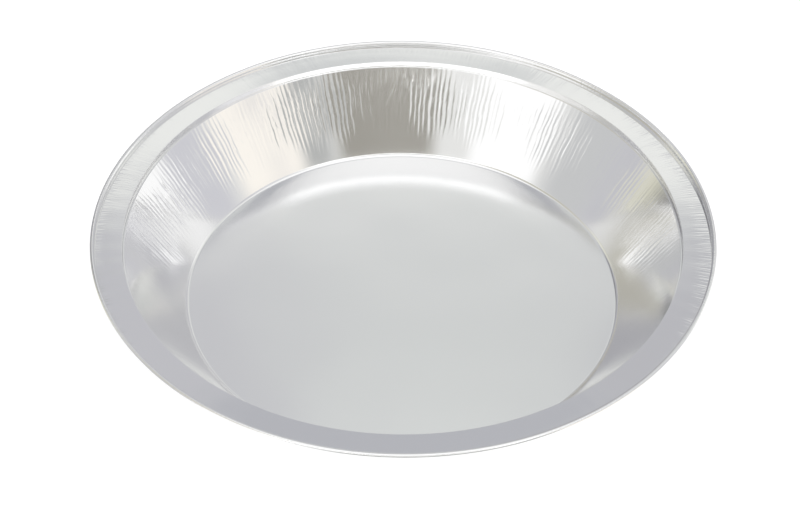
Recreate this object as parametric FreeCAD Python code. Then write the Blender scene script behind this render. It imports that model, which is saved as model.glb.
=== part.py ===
"""Foil pie tin, stamped and drawn from one round blank of soft aluminium foil.

The sheet runs unbroken from the flat base, round a small corner, up a leaning wall
full of draw wrinkles, over a narrow ledge, up a short step and along a flat flange
to an edge that is curled up and over into a bead.

The origin is the middle of the underside of the base, and +Z is up.
"""
import FreeCAD, Part
import math
import os

from FreeCAD import Vector

# Sheet
foil = 0.09  # gauge of the foil

# Base and wall
base_diameter = 173.0  # underside, where base and wall would meet without the corner
corner_radius = 2.2  # underside of the corner between base and wall
wall_height = 31.3  # underside of the base to the underside of the ledge

# Step, flange and bead
throat_diameter = 218.5  # inside of the step
ledge_land = 0.3  # least width of the flat ledge between the furrows and the step
step_height = 2.9  # ledge to flange
flange_drop = 0.2  # how much lower the flange is at the bead than at the step
rim_diameter = 244.0  # over the bead
bead_diameter = 2.0  # outside of the curl
bead_lift = 1.5  # flange at the step to the middle of the bead
neck_inset = 0.72  # middle of the bead inwards to the foot of the short neck that carries it
bead_neck_angle = 196.0  # where the neck runs into the curl, seen in section
bead_end_angle = -72.0  # where the curl ends under the rim, seen in section
bead_runs = 9  # straight runs that stand for the round curl, which keeps the facets few

# Draw wrinkles in the wall
wrinkle_count = 216  # ridges round the wall
wrinkle_depth = 0.30  # ridge to furrow at the top of the wall, where they are deepest
wrinkle_spread = 0.22  # how far a ridge strays from even spacing, as a share of the pitch
wrinkle_fade = 0.24  # share of the wall's height, at its foot, over which they die away

throat_radius = throat_diameter / 2
flange_top = wall_height + step_height + foil  # top of the flange at the step
bead_radius = bead_diameter / 2
bead_x = rim_diameter / 2 - bead_radius
bead_height = flange_top + bead_lift
pitch = 360.0 / wrinkle_count


def turned(point, degrees):
    """A point of the section, (radius, height), turned about the axis."""
    angle = math.radians(degrees)
    return Vector(point[0] * math.cos(angle), point[0] * math.sin(angle), point[1])


def crossing(point_a, heading_a, point_b, heading_b):
    """Where two lines of the section meet, each given by a point and a heading."""
    cross = heading_a[0] * heading_b[1] - heading_a[1] * heading_b[0]
    gap = (point_b[0] - point_a[0], point_b[1] - point_a[1])
    along = (gap[0] * heading_b[1] - gap[1] * heading_b[0]) / cross
    return (point_a[0] + along * heading_a[0], point_a[1] + along * heading_a[1])


# The underside of the wall in section, as a straight line from base to ledge
wall_foot = (base_diameter / 2, 0.0)
wall_head = (throat_radius + foil - ledge_land - wrinkle_depth, wall_height)
wall_length = math.dist(wall_foot, wall_head)
wall_heading = (
    (wall_head[0] - wall_foot[0]) / wall_length,
    (wall_head[1] - wall_foot[1]) / wall_length,
)
wall_outward = (wall_heading[1], -wall_heading[0])
wall_slope = math.atan2(wall_heading[1], wall_heading[0])


def wrinkle_swell(degrees):
    """Share of the full depth at this angle: strong groups with calmer stretches between."""
    angle = math.radians(degrees)
    groups = math.sin(5 * angle + 0.7) * math.sin(8 * angle + 2.1)
    single = math.sin(61 * angle) * math.sin(43 * angle + 1.0)
    return 0.68 + 0.20 * groups + 0.12 * single


def wrinkle_angles():
    """Angles of the ridges and furrows in turn, unevenly spaced."""
    angles = []
    for index in range(2 * wrinkle_count):
        even = index * pitch / 2
        stray = math.sin(math.radians(29 * even)) * math.sin(math.radians(47 * even) + 0.5)
        angles.append(even + stray * wrinkle_spread * pitch)
    return angles


def side_of_sheet(level):
    """Section points of one side of the sheet, level up from the underside.

    Returns the corner's points from the base to the wall, the top of the wall, and
    the point on the axis that every line down the wall runs to.
    """
    radius = corner_radius - level
    foot = crossing((0.0, level), (1.0, 0.0), offset_up(wall_foot, level), wall_heading)
    head = crossing((0.0, wall_height + level), (1.0, 0.0), foot, wall_heading)
    reach = radius * math.tan(wall_slope / 2)
    centre = (foot[0] - reach, level + radius)
    corner = []
    for share in (0.0, 0.5, 1.0):
        turn = wall_slope * share
        point = (centre[0] + radius * math.sin(turn), centre[1] - radius * math.cos(turn))
        corner.append(point)
    apex = crossing((0.0, 0.0), (0.0, 1.0), foot, wall_heading)
    return corner, head, apex


def offset_up(point, level):
    """A point moved to the inside of the dish, square to the wall."""
    return (point[0] - level * wall_outward[0], point[1] - level * wall_outward[1])


def flat(*points):
    """A flat face through the points in turn."""
    return Part.Face(Part.makePolygon(list(points) + [points[0]]))


def closed(points):
    """A closed wire of straight edges through the points."""
    return Part.makePolygon(points + [points[0]])


def wrinkled_side(level):
    """One side of the sheet from the base to the ledge, as flat facets.

    Every ridge and furrow of the upper wall lies on a line through the apex, so the
    facets between them are flat. Below, each furrow runs out in one point on the
    corner and the ridges die away between those points.
    """
    corner, head, apex = side_of_sheet(level)
    angles = wrinkle_angles()
    fade_height = wrinkle_fade * wall_height
    top_ring = []
    for index, angle in enumerate(angles):
        side = 1 if index % 2 else -1
        swing = side * wrinkle_depth / 2 * wrinkle_swell(angle) / math.sin(wall_slope)
        top_ring.append(turned((head[0] + swing, head[1]), angle))
    scale = (fade_height - apex[1]) / (head[1] - apex[1])
    peak = Vector(0, 0, apex[1])
    low_ring = [peak + (point - peak) * scale for point in top_ring]
    corner_rings = [[turned(point, angle) for angle in angles[1::2]] for point in corner]

    faces = [Part.Face(closed(corner_rings[0]))]
    for index in range(wrinkle_count):
        after = (index + 1) % wrinkle_count
        for lower, upper in zip(corner_rings, corner_rings[1:]):
            faces.append(flat(lower[index], lower[after], upper[after], upper[index]))
        ridge, furrow = 2 * index, 2 * index + 1
        next_ridge = 2 * after
        foot, next_foot = corner_rings[-1][index], corner_rings[-1][after]
        faces.append(flat(foot, low_ring[furrow], low_ring[ridge]))
        faces.append(flat(foot, low_ring[next_ridge], low_ring[furrow]))
        faces.append(flat(foot, next_foot, low_ring[next_ridge]))
        for a, b in ((ridge, furrow), (furrow, next_ridge)):
            faces.append(flat(low_ring[a], low_ring[b], top_ring[b], top_ring[a]))
    return faces, closed(top_ring), head[1]


def ledge(ring, radius, height):
    """The flat ledge between the wrinkled edge of the wall and the round step."""
    circle = Part.Circle(Vector(0, 0, height), Vector(0, 0, 1), radius)
    return Part.makeFace([Part.Wire(circle.toShape()), ring], "Part::FaceMakerBullseye")


def on_bead(degrees):
    """A point of the section on the outside of the curl."""
    angle = math.radians(degrees)
    return (bead_x + bead_radius * math.cos(angle), bead_height + bead_radius * math.sin(angle))


def rim_upper_side():
    """The upper side of the sheet in section: ledge, step, flange, neck, then over the curl.

    The flange turns up into the neck, which runs into the outside of the curl.
    """
    points = [
        (throat_radius - ledge_land, wall_height + foil),
        (throat_radius, wall_height + foil),
        (throat_radius, flange_top),
        (bead_x - neck_inset, flange_top - flange_drop),
    ]
    turn = (bead_end_angle - bead_neck_angle) / bead_runs
    points += [on_bead(bead_neck_angle + index * turn) for index in range(bead_runs + 1)]
    return points


def underside(points):
    """The same section one gauge of foil lower, mitred at each bend."""
    squares = []
    for start, end in zip(points, points[1:]):
        length = math.dist(start, end)
        squares.append(((end[1] - start[1]) / length, (start[0] - end[0]) / length))
    lowered = []
    for point, before, after in zip(points, squares[:1] + squares, squares + squares[-1:]):
        reach = foil / (1 + before[0] * after[0] + before[1] * after[1])
        lowered.append((
            point[0] + reach * (before[0] + after[0]),
            point[1] + reach * (before[1] + after[1]),
        ))
    return lowered


def turned_face(start, end):
    """The surface that a straight run of the section sweeps about the axis."""
    run = Part.makeLine(turned(start, 0), turned(end, 0))
    return run.revolve(Vector(0, 0, 0), Vector(0, 0, 1), 360)


def pie_tin():
    """The whole tin as one closed sheet of even gauge."""
    upper = rim_upper_side()
    lower = underside(upper)
    faces = [turned_face(upper[-1], lower[-1])]
    for level, section in ((foil, upper), (0.0, lower)):
        wall_faces, wall_ring, ledge_height = wrinkled_side(level)
        rim = section[1:]
        faces += wall_faces
        faces.append(ledge(wall_ring, rim[0][0], ledge_height))
        faces += [turned_face(start, end) for start, end in zip(rim, rim[1:])]
    shell = Part.makeShell(faces)
    shell.sewShape(1e-5)
    solid = Part.Solid(shell.Shells[0])
    if solid.Volume < 0:
        solid.reverse()
    return solid


os.makedirs("parts", exist_ok=True)
tin = pie_tin()
tin.exportStep("parts/pie_tin.step")
print("pie_tin", "valid", tin.isValid(), "faces", len(tin.Faces), "volume", round(tin.Volume, 1))
print("box", tin.BoundBox)
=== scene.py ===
"""The looks of a foil pie tin: drawn aluminium foil with a wrinkled wall and a curled edge."""

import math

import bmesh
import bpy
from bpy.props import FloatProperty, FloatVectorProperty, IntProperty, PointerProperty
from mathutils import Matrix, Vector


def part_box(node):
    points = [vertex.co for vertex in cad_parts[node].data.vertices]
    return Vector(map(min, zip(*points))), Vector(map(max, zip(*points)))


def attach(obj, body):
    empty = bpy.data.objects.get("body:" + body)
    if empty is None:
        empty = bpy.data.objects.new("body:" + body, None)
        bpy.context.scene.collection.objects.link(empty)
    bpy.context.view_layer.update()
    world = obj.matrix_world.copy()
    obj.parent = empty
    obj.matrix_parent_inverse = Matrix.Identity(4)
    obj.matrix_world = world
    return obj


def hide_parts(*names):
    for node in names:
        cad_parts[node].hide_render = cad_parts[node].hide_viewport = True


bl_info = {
    "name": "Foil Pie Tin",
    "version": (1, 0, 0),
    "blender": (4, 5, 0),
    "location": "View3D > Sidebar > Pie Tin",
    "description": "Builds a drawn foil pie tin with its wrinkles, curled edge and foil finish",
    "category": "Object",
}

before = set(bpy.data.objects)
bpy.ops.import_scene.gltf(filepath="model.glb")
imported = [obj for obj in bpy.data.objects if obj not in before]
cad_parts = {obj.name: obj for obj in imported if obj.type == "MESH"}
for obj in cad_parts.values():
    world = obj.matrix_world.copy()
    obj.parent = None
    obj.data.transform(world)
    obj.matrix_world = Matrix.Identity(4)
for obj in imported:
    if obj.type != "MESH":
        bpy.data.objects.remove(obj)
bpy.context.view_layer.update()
tin_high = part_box("pie_tin")[1]

MM = 0.001
SEAM = 0.001 * MM  # points of the spun section closer than this are one
JOIN = 0.005 * MM  # the same where the rim meets the dish


def colour(code):
    """A linear colour from an sRGB hex value."""
    channels = [int(code[start:start + 2], 16) / 255 for start in (1, 3, 5)]
    return [c / 12.92 if c <= 0.04045 else ((c + 0.055) / 1.055) ** 2.4 for c in channels]


def smooth_step(low, high, value):
    """0 up to low, 1 from high on, and an even curve between."""
    share = min(max((value - low) / (high - low), 0.0), 1.0)
    return share * share * (3 - 2 * share)


def add_node(tree, kind, settings=None, links=None):
    """Adds one node with its settings, its sockets' values and its links."""
    node = tree.nodes.new(kind)
    for name, value in (settings or {}).items():
        if isinstance(name, str) and hasattr(node, name):
            setattr(node, name, value)
        else:
            node.inputs[name].default_value = value
    for name, socket in (links or {}).items():
        tree.links.new(socket, node.inputs[name])
    return node


class TinSheet(bpy.types.PropertyGroup):
    """Sizes of the drawn sheet, after the solid's. Only its flange is a little flatter."""
    gauge: FloatProperty(
        name="Gauge", description="Thickness of the foil",
        default=0.09 * MM, precision=6, subtype="DISTANCE", unit="LENGTH")
    rim_radius: FloatProperty(
        name="Rim radius", description="Radius over the bead",
        default=tin_high.x, subtype="DISTANCE", unit="LENGTH")
    base_radius: FloatProperty(
        name="Base radius", description="Where base and wall would meet without the corner",
        default=86.5 * MM, subtype="DISTANCE", unit="LENGTH")
    corner_radius: FloatProperty(
        name="Corner radius", description="Inside radius of the corner between base and wall",
        default=2.1 * MM, subtype="DISTANCE", unit="LENGTH")
    throat_radius: FloatProperty(
        name="Throat radius", description="Inside radius of the step",
        default=109.25 * MM, subtype="DISTANCE", unit="LENGTH")
    ledge_width: FloatProperty(
        name="Ledge width", description="Width of the ledge between wall and step",
        default=0.6 * MM, precision=5, subtype="DISTANCE", unit="LENGTH")
    ledge_height: FloatProperty(
        name="Ledge height", description="Height of the ledge at the top of the wall",
        default=31.39 * MM, subtype="DISTANCE", unit="LENGTH")
    flange_height: FloatProperty(
        name="Flange height", description="Height of the flange at the step",
        default=34.29 * MM, subtype="DISTANCE", unit="LENGTH")
    fold_radius: FloatProperty(
        name="Fold radius", description="Radius of the folds of ledge and step",
        default=0.2 * MM, precision=5, subtype="DISTANCE", unit="LENGTH")
    bead_radius: FloatProperty(
        name="Bead radius", description="Outside radius of the curl",
        default=1.0 * MM, subtype="DISTANCE", unit="LENGTH")
    bead_lift: FloatProperty(
        name="Bead lift", description="Flange at the step to the middle of the bead",
        default=1.5 * MM, subtype="DISTANCE", unit="LENGTH")
    flange_drop: FloatProperty(
        name="Flange drop", description="How much lower the flange is at the bead",
        default=0.05 * MM, precision=5, subtype="DISTANCE", unit="LENGTH")
    flange_crown: FloatProperty(
        name="Flange crown", description="How far the flange bows up in section",
        default=0.03 * MM, precision=5, subtype="DISTANCE", unit="LENGTH")
    neck_inset: FloatProperty(
        name="Neck inset", description="Middle of the bead inwards to the foot of its neck",
        default=0.85 * MM, precision=5, subtype="DISTANCE", unit="LENGTH")
    bead_neck: FloatProperty(
        name="Bead neck", description="Angle in section at which the neck meets the curl",
        default=math.radians(192), subtype="ANGLE", unit="ROTATION")
    bead_end: FloatProperty(
        name="Bead end", description="Angle in section at which the curl ends",
        default=math.radians(-72), subtype="ANGLE", unit="ROTATION")
    dish_columns: IntProperty(
        name="Dish columns", description="Facets round the base and the wall",
        default=1512, min=64)
    rim_columns: IntProperty(
        name="Rim columns", description="Facets round the step, the flange and the bead",
        default=756, min=64)


class TinWrinkles(bpy.types.PropertyGroup):
    """Draw wrinkles of the wall and unevenness of the soft rim."""
    count: IntProperty(
        name="Wrinkles", description="Wrinkles round the wall", default=300, min=8)
    depth: FloatProperty(
        name="Depth", description="Ridge to furrow where the wrinkles are strongest",
        default=0.135 * MM, precision=5, subtype="DISTANCE", unit="LENGTH")
    flange_waves: IntProperty(
        name="Flange waves", description="Soft waves round the flange", default=80, min=4)
    flange_depth: FloatProperty(
        name="Flange depth", description="Depth of the soft waves of the flange",
        default=0.03 * MM, precision=5, subtype="DISTANCE", unit="LENGTH")
    flange_sag: FloatProperty(
        name="Flange sag", description="How far the flange sags at the bead on one side",
        default=0.75 * MM, precision=5, subtype="DISTANCE", unit="LENGTH")
    rim_wobble: FloatProperty(
        name="Rim wobble", description="How far the soft rim strays up or down",
        default=0.10 * MM, precision=5, subtype="DISTANCE", unit="LENGTH")
    rim_dip: FloatProperty(
        name="Rim dip", description="How far the soft rim is pressed down on one side",
        default=0.70 * MM, precision=5, subtype="DISTANCE", unit="LENGTH")
    rim_shift: FloatProperty(
        name="Rim shift", description="How far the bead is off the middle of the dish",
        default=0.25 * MM, precision=5, subtype="DISTANCE", unit="LENGTH")


class TinFinish(bpy.types.PropertyGroup):
    """Finish of the foil."""
    foil_colour: FloatVectorProperty(
        name="Foil", description="Reflected colour of bright rolled aluminium foil",
        default=colour("#F1F1F1"), subtype="COLOR", size=3, min=0, max=1)
    wall_roughness: FloatProperty(
        name="Wall roughness", description="Roughness of the drawn wall", default=0.10)
    base_roughness: FloatProperty(
        name="Base roughness", description="Roughness of the satin base", default=0.17)


class TinStudio(bpy.types.PropertyGroup):
    """Camera and floor."""
    lens: FloatProperty(
        name="Lens", description="Focal length in millimetres, on a 36 mm wide sensor",
        default=89.79)
    distance: FloatProperty(
        name="Distance", description="Camera to the middle of the rim",
        default=780.3 * MM, subtype="DISTANCE", unit="LENGTH")
    elevation: FloatProperty(
        name="Elevation", description="Height of the camera above the rim, as an angle",
        default=math.radians(41.343), subtype="ANGLE", unit="ROTATION")
    aim: FloatVectorProperty(
        name="Aim", description="Where the camera aims, from the middle of the rim",
        default=(-0.9 * MM, -19.51 * MM, 0.0), size=3, subtype="TRANSLATION", unit="LENGTH")
    roll: FloatProperty(
        name="Roll", description="Roll of the camera",
        default=math.radians(0.386), subtype="ANGLE", unit="ROTATION")
    rim_height: FloatProperty(
        name="Rim height", description="Height of the plane of the rim",
        default=35.69 * MM, subtype="DISTANCE", unit="LENGTH")
    floor_size: FloatProperty(
        name="Floor", description="Width of the floor", default=12.0,
        subtype="DISTANCE", unit="LENGTH")
    floor_edge: FloatProperty(
        name="Floor edge", description="Middle of the tin to the near edge of the floor",
        default=0.3, subtype="DISTANCE", unit="LENGTH")


def fold(bm, corner, radius, before, after, segments):
    """Rounds one bend of a section, between its neighbours, to this radius."""
    turn = math.pi - (before - corner.co).angle(after - corner.co)
    bmesh.ops.bevel(
        bm, geom=[corner], offset=radius * math.tan(turn / 2), offset_type="OFFSET",
        segments=segments, profile=0.5, affect="VERTICES", material=-1)


def divide_longest(bm, rows):
    """Divides the longest run of a section into this many rows."""
    longest = max(bm.edges, key=lambda edge: edge.calc_length())
    bmesh.ops.subdivide_edges(bm, edges=[longest], cuts=rows - 1)


def section_run(bm, places):
    """A section of straight runs through these (radius, height) places."""
    points = [Vector((radius, 0, height)) for radius, height in places]
    corners = [bm.verts.new(point) for point in points]
    for pair in zip(corners, corners[1:]):
        bm.edges.new(pair)
    return corners, points


def spun(bm, columns):
    """Spins the section once round the axis and closes the seam."""
    bmesh.ops.spin(
        bm, geom=bm.verts[:] + bm.edges[:], cent=(0, 0, 0), axis=(0, 0, 1),
        angle=2 * math.pi, steps=columns, use_merge=True)
    bmesh.ops.remove_doubles(bm, verts=bm.verts[:], dist=SEAM)


def dish(sheet):
    """Base and wall, from the flat ring round the base's middle up to the ledge."""
    ring_width = 6 * MM
    wall_rows = 14
    bm = bmesh.new()
    corners, points = section_run(bm, (
        (sheet.base_radius - ring_width, sheet.gauge),
        (sheet.base_radius, sheet.gauge),
        (sheet.throat_radius - sheet.ledge_width, sheet.ledge_height),
        (sheet.throat_radius - sheet.ledge_width / 3, sheet.ledge_height),
    ))
    fold(bm, corners[1], sheet.corner_radius, points[0], points[2], 4)
    fold(bm, corners[2], sheet.fold_radius, points[1], points[3], 2)
    divide_longest(bm, wall_rows)
    spun(bm, sheet.dish_columns)
    return bm


def rim(sheet):
    """Step, flange, neck and curl, from the ledge to the cut edge under the bead.

    It has half as many facets round as the dish, so the edges of its inner ring are
    halved to meet the dish's own.
    """
    flange_rows = 4
    curl_steps = 9
    bm = bmesh.new()
    curl_centre = Vector((
        sheet.rim_radius - sheet.bead_radius, 0, sheet.flange_height + sheet.bead_lift))
    neck_x = curl_centre.x + sheet.bead_radius * math.cos(sheet.bead_neck)
    neck_z = curl_centre.z + sheet.bead_radius * math.sin(sheet.bead_neck)
    corners, points = section_run(bm, (
        (sheet.throat_radius - sheet.ledge_width / 3, sheet.ledge_height),
        (sheet.throat_radius, sheet.ledge_height),
        (sheet.throat_radius, sheet.flange_height),
        (curl_centre.x - sheet.neck_inset, sheet.flange_height - sheet.flange_drop),
        (neck_x, neck_z),
    ))
    tip = corners[-1]
    turn = (sheet.bead_neck - sheet.bead_end) / curl_steps
    for _ in range(curl_steps):
        tip = bmesh.ops.extrude_vert_indiv(bm, verts=[tip])["verts"][0]
        bmesh.ops.rotate(
            bm, verts=[tip], cent=curl_centre, matrix=Matrix.Rotation(turn, 3, "Y"))
    fold(bm, corners[1], sheet.fold_radius / 2, points[0], points[2], 1)
    fold(bm, corners[2], sheet.fold_radius, points[1], points[3], 2)
    fold(bm, corners[3], sheet.fold_radius / 2, points[2], points[4], 1)
    divide_longest(bm, flange_rows)
    spun(bm, sheet.rim_columns)
    inner_ring = [
        edge for edge in bm.edges
        if edge.is_boundary and edge.verts[0].co.z < sheet.flange_height - MM]
    bmesh.ops.subdivide_edges(bm, edges=inner_ring, cuts=1)
    return bm


def wall_wrinkle(angle, climb, wrinkles):
    """How far the wall stands in at this angle and share of its climb, from -1 to 1."""
    fine_count = 377
    broad_count = 167
    gripped_side = math.radians(98)
    groups = math.sin(5 * angle + 0.7) * math.sin(8 * angle + 2.1)
    single = math.sin(61 * angle) * math.sin(43 * angle + 1.0)
    sway = 0.5 * math.sin(23 * angle + 13.0 * climb + 2 * groups)
    sway += 0.5 * math.sin(41 * angle - 23.0 * climb + 3 * single)
    place = angle + 1.2 * sway / wrinkles.count
    stray = math.sin(29 * angle) * math.sin(47 * angle + 0.5)
    main = math.sin(wrinkles.count * place + 1.6 * stray)
    fine_run = 1.3 * math.sin(17 * angle + 1.9) + 1.1 * math.sin(38 * angle + climb)
    fine = math.sin(fine_count * place + fine_run)
    broad = math.sin(broad_count * place + 2.0 * math.sin(11 * angle + 0.4))
    foot = 0.17 + 0.08 * single + 0.05 * math.sin(37 * angle)
    strength = smooth_step(foot, foot + 0.30, climb)
    strength *= 1.0 - 0.75 * smooth_step(0.78, 0.98, climb)
    # The die gripped the foil harder on one side, which is wrinkled more
    strength *= 0.3 + 0.7 * smooth_step(0.15, 0.45, math.cos(angle - gripped_side))
    return strength * (
        (0.55 + 0.20 * groups + 0.25 * single) * main
        + (0.28 - 0.10 * groups) * fine
        + 0.18 * broad)


def shape_sheet(bm, sheet, wrinkles):
    """Moves the spun sheet's points into its wrinkles, soft waves and uneven rim."""
    ledge_edge = 0.05 * MM
    pressed_side = math.radians(105)
    step_share = 0.62
    bead_share = 0.9
    head_radius = sheet.throat_radius - sheet.ledge_width
    slant = math.atan2(sheet.ledge_height, head_radius - sheet.base_radius)
    bead_x = sheet.rim_radius - sheet.bead_radius
    for vert in bm.verts:
        radius = math.hypot(vert.co.x, vert.co.y)
        angle = math.atan2(vert.co.y, vert.co.x)
        outward = Vector((vert.co.x / radius, vert.co.y / radius, 0))
        if radius < sheet.throat_radius - ledge_edge:
            climb = vert.co.z / sheet.ledge_height
            ledge_share = smooth_step(sheet.throat_radius, head_radius, radius)
            swing = wall_wrinkle(angle, climb, wrinkles) * ledge_share
            vert.co -= outward * (swing * wrinkles.depth / 2 / math.sin(slant))
        else:
            reach = min((radius - sheet.throat_radius) / (bead_x - sheet.throat_radius), 1.1)
            on_bead = smooth_step(sheet.flange_height, sheet.flange_height + MM, vert.co.z)
            off_ledge = smooth_step(sheet.ledge_height, sheet.flange_height, vert.co.z)
            back = smooth_step(0.0, 0.8, math.cos(angle - pressed_side))
            front = smooth_step(0.0, 0.8, -math.sin(angle))
            lean = smooth_step(0.55, 1.0, math.sin(angle))
            pressed = step_share * lean * (1 - reach) * off_ledge
            pressed += bead_share * back * on_bead
            rise = 0.5 * math.sin(3 * angle + 2.2) + 0.3 * math.sin(7 * angle)
            rise += 0.2 * math.sin(12 * angle + 1.0)
            vert.co.z += wrinkles.rim_wobble * rise * reach
            vert.co.z -= wrinkles.rim_dip * pressed
            vert.co.z -= wrinkles.flange_sag * front * reach * (1 - on_bead)
            vert.co.x += wrinkles.rim_shift * reach
            inside = max(1 - (2 * reach - 1) ** 2, 0.0)
            vert.co.z += sheet.flange_crown * inside * (1 - front)
            soft = math.sin(wrinkles.flange_waves * angle + 2.2 * math.sin(13 * angle))
            soft *= 0.45 + 0.55 * math.sin(2 * angle - 1.2) * math.sin(3 * angle + 0.2)
            vert.co.z += wrinkles.flange_depth / 2 * soft * inside


class PIETIN_OT_sheet(bpy.types.Operator):
    """Builds the drawn sheet: base, wrinkled wall, step, flange and curled edge"""
    bl_idname = "pie_tin.sheet"
    bl_label = "Drawn sheet"

    def execute(self, context):
        sheet = context.scene.pie_tin_sheet
        bm = dish(sheet)
        outer = rim(sheet)
        outer_mesh = bpy.data.meshes.new("rim")
        outer.to_mesh(outer_mesh)
        outer.free()
        bm.from_mesh(outer_mesh)
        bpy.data.meshes.remove(outer_mesh)
        bmesh.ops.remove_doubles(bm, verts=bm.verts[:], dist=JOIN)
        base_edges = [
            edge for edge in bm.edges
            if edge.is_boundary and edge.verts[0].co.xy.length < sheet.base_radius]
        bmesh.ops.contextual_create(bm, geom=base_edges)
        shape_sheet(bm, sheet, context.scene.pie_tin_wrinkles)
        bmesh.ops.recalc_face_normals(bm, faces=bm.faces[:])
        bm.faces.ensure_lookup_table()
        base = max(bm.faces, key=lambda face: len(face.verts))
        if base.normal.z < 0:
            bmesh.ops.reverse_faces(bm, faces=bm.faces[:])
        for face in bm.faces:
            face.smooth = True
        mesh = bpy.data.meshes.new("pie_tin_foil")
        bm.to_mesh(mesh)
        bm.free()
        tin = bpy.data.objects.new("pie_tin_foil", mesh)
        context.collection.objects.link(tin)
        gauge = tin.modifiers.new("Gauge", "SOLIDIFY")
        gauge.thickness = sheet.gauge
        gauge.offset = -1
        gauge.use_even_offset = True
        normals = tin.modifiers.new("Flat runs keep their shading", "WEIGHTED_NORMAL")
        normals.mode = "FACE_AREA"
        normals.weight = 100
        like_areas = 0.3 * MM * MM
        normals.thresh = like_areas
        mesh.materials.append(drawn_foil(context.scene.pie_tin_finish, sheet))
        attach(tin, "root")
        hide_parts("pie_tin")
        return {"FINISHED"}


def drawn_foil(finish, sheet):
    """Rolled aluminium foil, cold drawn: satin on the base, with fine creases up the wall.

    The metal mirrors the room softly. Its base keeps the rolled finish, its wall is
    burnished by the die, and fine creases run up the wall and out over the flange.
    """
    bend_length = 14 * MM
    bend_reach = 2.4 * MM
    crease_pitch = 1.5 * MM
    crease_depth = 0.045 * MM
    hair_pitch = 1.0 * MM
    hair_depth = 0.045 * MM
    hair_short = 4.5 * MM
    hair_long = 8.5 * MM
    bead_width = 2 * MM
    rolled_length = 60 * MM
    rolled_depth = 0.5 * MM
    crown_depth = 0.14 * MM
    material = bpy.data.materials.new("drawn_aluminium_foil")
    material.use_nodes = True
    tree = material.node_tree
    tree.nodes.clear()

    place = add_node(tree, "ShaderNodeTexCoord").outputs["Object"]
    split = add_node(tree, "ShaderNodeSeparateXYZ", links={0: place})
    level = add_node(tree, "ShaderNodeVectorMath", {
        "operation": "MULTIPLY", 1: (1, 1, 0)}, {0: place})
    radius = add_node(
        tree, "ShaderNodeVectorMath", {"operation": "LENGTH"},
        {0: level.outputs[0]}).outputs["Value"]
    outward = add_node(
        tree, "ShaderNodeVectorMath", {"operation": "NORMALIZE"}, {0: level.outputs[0]})
    height = split.outputs["Z"]

    # The noise of creases and hairs is read on one circle, so that it runs on round the
    # tin and drifts only a little outwards
    along = add_node(tree, "ShaderNodeVectorMath", {
        "operation": "SCALE", "Scale": sheet.throat_radius}, {0: outward.outputs[0]})
    drift = add_node(tree, "ShaderNodeMath", {
        "operation": "MULTIPLY", 1: 0.04}, {0: radius})
    lift = add_node(tree, "ShaderNodeCombineXYZ", links={"Z": drift.outputs[0]})
    hair_place = add_node(
        tree, "ShaderNodeVectorMath", {"operation": "ADD"},
        {0: along.outputs[0], 1: lift.outputs[0]}).outputs[0]
    bend = add_node(tree, "ShaderNodeTexNoise", {
        "Scale": 2 / bend_length, "Detail": 1.0, "Roughness": 0.5}, {"Vector": place})
    crease_place = add_node(tree, "ShaderNodeVectorMath", {
        "operation": "MULTIPLY_ADD", 1: (bend_reach, bend_reach, 0)},
        {0: bend.outputs["Color"], 2: hair_place}).outputs[0]
    creases = add_node(tree, "ShaderNodeTexNoise", {
        "Scale": 2 / crease_pitch, "Detail": 1.0, "Roughness": 0.5},
        {"Vector": crease_place})
    hairs = add_node(tree, "ShaderNodeTexNoise", {
        "Scale": 2 / hair_pitch, "Detail": 0.5, "Roughness": 0.4},
        {"Vector": hair_place})

    on_wall = add_node(tree, "ShaderNodeMapRange", {
        "interpolation_type": "SMOOTHSTEP", "From Min": 8 * MM, "From Max": 20 * MM},
        {"Value": height})
    below_ledge = add_node(tree, "ShaderNodeMapRange", {
        "interpolation_type": "SMOOTHSTEP", "From Min": 24 * MM, "From Max": 31 * MM,
        "To Min": 1.0, "To Max": 0.25}, {"Value": height})
    # The hairs start at the bead and reach further in on one side of the flange
    side = add_node(tree, "ShaderNodeVectorMath", {
        "operation": "DOT_PRODUCT", 1: (0.87, 0.5, 0)}, {0: outward.outputs[0]})
    hair_reach = add_node(tree, "ShaderNodeMapRange", {
        "interpolation_type": "SMOOTHSTEP", "From Min": 0.3, "From Max": 0.95,
        "To Min": hair_short, "To Max": hair_long}, {"Value": side.outputs["Value"]})
    from_bead = add_node(tree, "ShaderNodeMath", {
        "operation": "SUBTRACT", 0: sheet.rim_radius - bead_width}, {1: radius})
    on_flange = add_node(tree, "ShaderNodeMapRange", {
        "interpolation_type": "SMOOTHSTEP", "From Min": 0.0, "To Min": 1.0, "To Max": 0.0},
        {"Value": from_bead.outputs[0], "From Max": hair_reach.outputs[0]})
    # Like the wrinkles, the creases are stronger on the side that was gripped harder
    back = add_node(tree, "ShaderNodeVectorMath", {
        "operation": "DOT_PRODUCT", 1: (-0.14, 0.99, 0)}, {0: outward.outputs[0]})
    gripped = add_node(tree, "ShaderNodeMapRange", {
        "interpolation_type": "SMOOTHSTEP", "From Min": 0.15, "From Max": 0.45,
        "To Min": 0.45, "To Max": 1.0}, {"Value": back.outputs["Value"]})
    creased = add_node(tree, "ShaderNodeMath", {"operation": "MULTIPLY"}, {
        0: on_wall.outputs[0], 1: below_ledge.outputs[0]})
    creased = add_node(tree, "ShaderNodeMath", {"operation": "MULTIPLY"}, {
        0: creased.outputs[0], 1: gripped.outputs[0]})
    wall_height = add_node(tree, "ShaderNodeMath", {"operation": "MULTIPLY"}, {
        0: creases.outputs["Fac"], 1: creased.outputs[0]})
    flange_height = add_node(tree, "ShaderNodeMath", {"operation": "MULTIPLY"}, {
        0: hairs.outputs["Fac"], 1: on_flange.outputs[0]})

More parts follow.
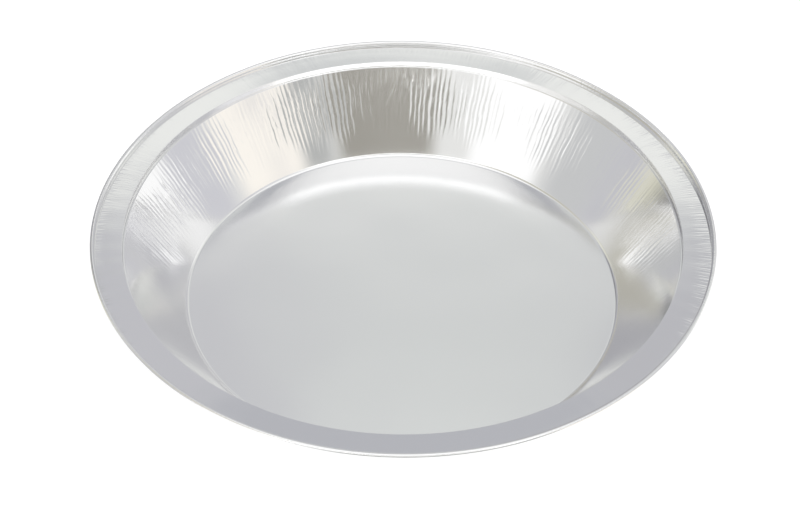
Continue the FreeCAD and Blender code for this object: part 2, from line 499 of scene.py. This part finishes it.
    rolled = add_node(tree, "ShaderNodeTexNoise", {
        "Scale": 1 / rolled_length, "Detail": 1.0, "Roughness": 0.4}, {"Vector": place})
    rolled_bump = add_node(tree, "ShaderNodeBump", {
        "Strength": 1.0, "Distance": rolled_depth}, {"Height": rolled.outputs["Fac"]})
    # The base lies a little lower towards its corner than in its middle
    crown = add_node(tree, "ShaderNodeMapRange", {
        "interpolation_type": "SMOOTHSTEP", "From Min": sheet.base_radius - 20 * MM,
        "From Max": sheet.base_radius + 8 * MM, "To Min": 1.0, "To Max": 0.0},
        {"Value": radius})
    crown_bump = add_node(tree, "ShaderNodeBump", {
        "Strength": 1.0, "Distance": crown_depth},
        {"Height": crown.outputs[0], "Normal": rolled_bump.outputs[0]})
    wall_bump = add_node(tree, "ShaderNodeBump", {
        "Strength": 1.0, "Distance": crease_depth},
        {"Height": wall_height.outputs[0], "Normal": crown_bump.outputs[0]})
    flange_bump = add_node(tree, "ShaderNodeBump", {
        "Strength": 1.0, "Distance": hair_depth},
        {"Height": flange_height.outputs[0], "Normal": wall_bump.outputs[0]})

    off_base = add_node(tree, "ShaderNodeMapRange", {
        "interpolation_type": "SMOOTHSTEP", "From Min": sheet.base_radius - 1 * MM,
        "From Max": sheet.base_radius + 3 * MM, "To Min": finish.base_roughness,
        "To Max": finish.wall_roughness}, {"Value": radius})
    shader = add_node(tree, "ShaderNodeBsdfPrincipled", {
        "Base Color": (*finish.foil_colour, 1), "Metallic": 1.0},
        {"Roughness": off_base.outputs[0], "Normal": flange_bump.outputs[0]})
    add_node(tree, "ShaderNodeOutputMaterial", links={"Surface": shader.outputs[0]})
    return material


# Panels of light and shade round the tin, as the foil mirrors them, with their angles in
# degrees: name, azimuth of the middle from the camera's side, half width, elevation of the
# low and high edge, softness across and upwards, colour, strength
PANELS = (
    ("softbox on the left", -50, 17, -5, 38, 4, 3, "#FFFFFF", 1.15),
    ("grey edge of the left softbox", -86, 13, -5, 38, 7, 4, "#CFD0D1", 1.0),
    ("lilac gap on the left", -102, 7, -5, 38, 5, 4, "#CCCCD1", 1.0),
    ("cream wall on the left", -128, 18, -5, 30, 6, 4, "#E0DECC", 1.0),
    ("warm shade over the left softbox", -92, 40, 40, 62, 8, 3, "#C8C5B9", 1.0),
    ("grey beside the right softbox", 43, 8, 8, 36, 6, 4, "#BCBDBC", 1.0),
    ("cream softbox on the right", 66, 16, -5, 37, 5, 4, "#FFFAF2", 1.1),
    ("lilac gap on the right", 98, 9, -5, 24, 5, 4, "#D6D6DC", 1.0),
    ("white wall on the right", 118, 10, -5, 24, 5, 4, "#FFFFFF", 1.1),
    ("pale grey high on the right", 84, 24, 26, 50, 8, 4, "#D2D2D7", 1.0),
    ("light high on the right", 45, 14, 46, 60, 6, 4, "#FFFFFF", 1.15),
    ("dim room behind on the left", -162, 32, -5, 34, 8, 1.5, "#B7B7BC", 1.0),
    ("dim room behind on the right", 166, 32, -5, 34, 8, 1.5, "#C8C8CC", 1.0),
    ("dark doorway behind on the left", -150, 16, 33, 42, 4, 1.5, "#77777B", 1.0),
    ("dim room under the table's edge", 12, 35, -60, 3, 8, 4, "#303032", 1.0),
    ("dark edge behind", -150, 30, -5, 11, 8, 5, "#7E7E82", 1.0),
    ("shade behind on the left", -162, 13, 41, 52, 3, 1.5, "#C9C9CE", 1.0),
    ("shade behind on the right", 158, 13, 41, 52, 3, 2, "#C1C1C6", 1.0),
    ("grey high behind on the left", -168, 16, 51.3, 60, 4, 1, "#BCBDC3", 1.0),
    ("grey high behind on the right", 168, 16, 51.3, 60, 4, 1, "#BCBDC3", 1.0),
    ("light strip to both sides", 0, 86, 36.6, 40, 6, 0.8, "#FFFFFF", 1.5),
    ("dark gap over the camera", 8.5, 23, 24, 35.6, 5, 0.8, "#A3A098", 1.0),
    ("light over the camera", 2, 50, 35.6, 42, 8, 0.8, "#FFFFFF", 2.6),
    ("dark ceiling over the camera", 3, 26, 47, 56, 8, 2, "#9C9C9C", 1.0),
)

# Height of the direction, and the tone the sky has there, on the camera's side
SKY = (
    (0.00, "#DCDCDE", 1.0),
    (0.45, "#F0F0EE", 1.0),
    (0.80, "#F0F0EE", 1.0),
    (0.90, "#FFFFFF", 1.1),
    (1.00, "#FFFFFF", 1.25),
)

# The same on the far side, whose tones the base and the flange mirror
FAR_SKY = (
    (0.00, "#DCDCDE", 1.0),
    (0.45, "#F4F5F2", 1.0),
    (0.58, "#FAFBF8", 1.0),
    (0.635, "#FAFBF8", 1.0),
    (0.65, "#DEE0E0", 1.0),
    (0.665, "#D5D7D7", 1.0),
    (0.70, "#CFD2D2", 1.0),
    (0.725, "#E0E3E1", 1.0),
    (0.755, "#ECEFEC", 1.0),
    (0.85, "#F0F0F0", 1.0),
    (0.93, "#FFFFFF", 1.15),
    (1.00, "#FFFFFF", 1.25),
)


def ramp(tree, value, tones):
    """A colour ramp through these tones."""
    node = add_node(tree, "ShaderNodeValToRGB", links={0: value})
    stops = node.color_ramp.elements
    while len(stops) < len(tones):
        stops.new(0.5)
    for stop, (at, code, strength) in zip(stops, tones):
        stop.position = at
        stop.color = [strength * channel for channel in colour(code)] + [1]
    return node.outputs["Color"]


def band(tree, value, low, high, soft):
    """1 between low and high, fading over soft on both sides."""
    rise = add_node(tree, "ShaderNodeMapRange", {
        "interpolation_type": "SMOOTHSTEP", "From Min": low - soft, "From Max": low + soft},
        {"Value": value})
    fall = add_node(tree, "ShaderNodeMapRange", {
        "interpolation_type": "SMOOTHSTEP", "From Min": high - soft, "From Max": high + soft,
        "To Min": 1.0, "To Max": 0.0}, {"Value": value})
    return add_node(tree, "ShaderNodeMath", {"operation": "MULTIPLY"}, {
        0: rise.outputs[0], 1: fall.outputs[0]}).outputs[0]


def studio_world():
    """A soft pale studio: the sky's tones by height, with the panels all round."""
    world = bpy.data.worlds.new("studio")
    world.use_nodes = True
    tree = world.node_tree
    tree.nodes.clear()
    direction = add_node(tree, "ShaderNodeTexCoord").outputs["Generated"]
    split = add_node(tree, "ShaderNodeSeparateXYZ", links={0: direction})
    toward_camera = add_node(tree, "ShaderNodeMath", {
        "operation": "MULTIPLY", 1: -1.0}, {0: split.outputs["Y"]})
    azimuth = add_node(tree, "ShaderNodeMath", {"operation": "ARCTAN2"}, {
        0: split.outputs["X"], 1: toward_camera.outputs[0]})
    azimuth = add_node(tree, "ShaderNodeMath", {
        "operation": "DEGREES"}, {0: azimuth.outputs[0]}).outputs[0]
    elevation = add_node(tree, "ShaderNodeMath", {
        "operation": "ARCSINE"}, {0: split.outputs["Z"]})
    elevation = add_node(tree, "ShaderNodeMath", {
        "operation": "DEGREES"}, {0: elevation.outputs[0]}).outputs[0]

    far_share = add_node(tree, "ShaderNodeMapRange", {
        "interpolation_type": "SMOOTHSTEP", "From Min": 0.2, "From Max": 0.5},
        {"Value": split.outputs["Y"]})
    tone = add_node(tree, "ShaderNodeMix", {"data_type": "RGBA"}, {
        0: far_share.outputs[0], 6: ramp(tree, split.outputs["Z"], SKY),
        7: ramp(tree, split.outputs["Z"], FAR_SKY)}).outputs[2]
    for name, centre, half, low, high, soft, rise, code, strength in PANELS:
        across = band(tree, azimuth, centre - half, centre + half, soft)
        upward = band(tree, elevation, low, high, rise)
        share = add_node(tree, "ShaderNodeMath", {"operation": "MULTIPLY", "label": name}, {
            0: across, 1: upward})
        light = [strength * channel for channel in colour(code)] + [1]
        tone = add_node(tree, "ShaderNodeMix", {"data_type": "RGBA", 7: light}, {
            0: share.outputs[0], 6: tone}).outputs[2]
    studio = add_node(tree, "ShaderNodeBackground", {"Strength": 1.0}, {"Color": tone})
    white = add_node(tree, "ShaderNodeBackground", {"Color": (1, 1, 1, 1), "Strength": 1.0})
    seen = add_node(tree, "ShaderNodeLightPath").outputs["Is Camera Ray"]
    chosen = add_node(tree, "ShaderNodeMixShader", links={
        0: seen, 1: studio.outputs[0], 2: white.outputs[0]})
    add_node(tree, "ShaderNodeOutputWorld", links={"Surface": chosen.outputs[0]})
    return world


def floor_material():
    """Matt white paper, with a little light of its own so that it shows white."""
    own_light = 0.42
    material = bpy.data.materials.new("matt_white_paper")
    material.use_nodes = True
    tree = material.node_tree
    tree.nodes.clear()
    paper = add_node(tree, "ShaderNodeBsdfDiffuse", {"Color": (*colour("#EEEEEE"), 1)})
    glow = add_node(tree, "ShaderNodeEmission", {"Color": (1, 1, 1, 1), "Strength": own_light})
    both = add_node(tree, "ShaderNodeAddShader", links={
        0: paper.outputs[0], 1: glow.outputs[0]})
    add_node(tree, "ShaderNodeOutputMaterial", links={"Surface": both.outputs[0]})
    return material


class PIETIN_OT_stage(bpy.types.Operator):
    """Sets the floor, the studio and the camera"""
    bl_idname = "pie_tin.stage"
    bl_label = "Stage"

    def execute(self, context):
        studio = context.scene.pie_tin_studio
        bm = bmesh.new()
        bmesh.ops.create_grid(bm, x_segments=1, y_segments=1, size=studio.floor_size / 2)
        mesh = bpy.data.meshes.new("floor")
        bm.to_mesh(mesh)
        bm.free()
        mesh.materials.append(floor_material())
        floor = bpy.data.objects.new("floor", mesh)
        floor.location.y = studio.floor_size / 2 - studio.floor_edge
        context.collection.objects.link(floor)
        context.scene.world = studio_world()

        rim = Vector((0, 0, studio.rim_height))
        arm = Vector((0, -math.cos(studio.elevation), math.sin(studio.elevation)))
        camera_data = bpy.data.cameras.new("camera")
        camera_data.sensor_width = 36
        camera_data.lens = studio.lens
        camera_data.clip_start = 0.01
        camera = bpy.data.objects.new("camera", camera_data)
        camera.location = rim + studio.distance * arm
        view = rim + Vector(studio.aim) - camera.location
        aimed = view.to_track_quat("-Z", "Y").to_matrix()
        camera.rotation_euler = (aimed @ Matrix.Rotation(studio.roll, 3, "Z")).to_euler()
        context.collection.objects.link(camera)
        context.scene.camera = camera
        context.scene.view_settings.view_transform = "Standard"
        return {"FINISHED"}


class PIETIN_PT_panel(bpy.types.Panel):
    """Lists the pie tin's operators"""
    bl_idname = "PIETIN_PT_panel"
    bl_label = "Pie Tin"
    bl_space_type = "VIEW_3D"
    bl_region_type = "UI"
    bl_category = "Pie Tin"

    def draw(self, context):
        for operator in OPERATORS:
            self.layout.operator(operator.bl_idname)


GROUPS = {
    "pie_tin_sheet": TinSheet,
    "pie_tin_wrinkles": TinWrinkles,
    "pie_tin_finish": TinFinish,
    "pie_tin_studio": TinStudio,
}
OPERATORS = (PIETIN_OT_sheet, PIETIN_OT_stage)


def register():
    for name, group in GROUPS.items():
        bpy.utils.register_class(group)
        setattr(bpy.types.Scene, name, PointerProperty(type=group))
    for operator in OPERATORS:
        bpy.utils.register_class(operator)
    bpy.utils.register_class(PIETIN_PT_panel)


def unregister():
    bpy.utils.unregister_class(PIETIN_PT_panel)
    for operator in reversed(OPERATORS):
        bpy.utils.unregister_class(operator)
    for name, group in GROUPS.items():
        delattr(bpy.types.Scene, name)
        bpy.utils.unregister_class(group)


def main():
    register()
    bpy.ops.pie_tin.stage()
    bpy.ops.pie_tin.sheet()
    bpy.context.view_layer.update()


if __name__ == "__main__":
    main()
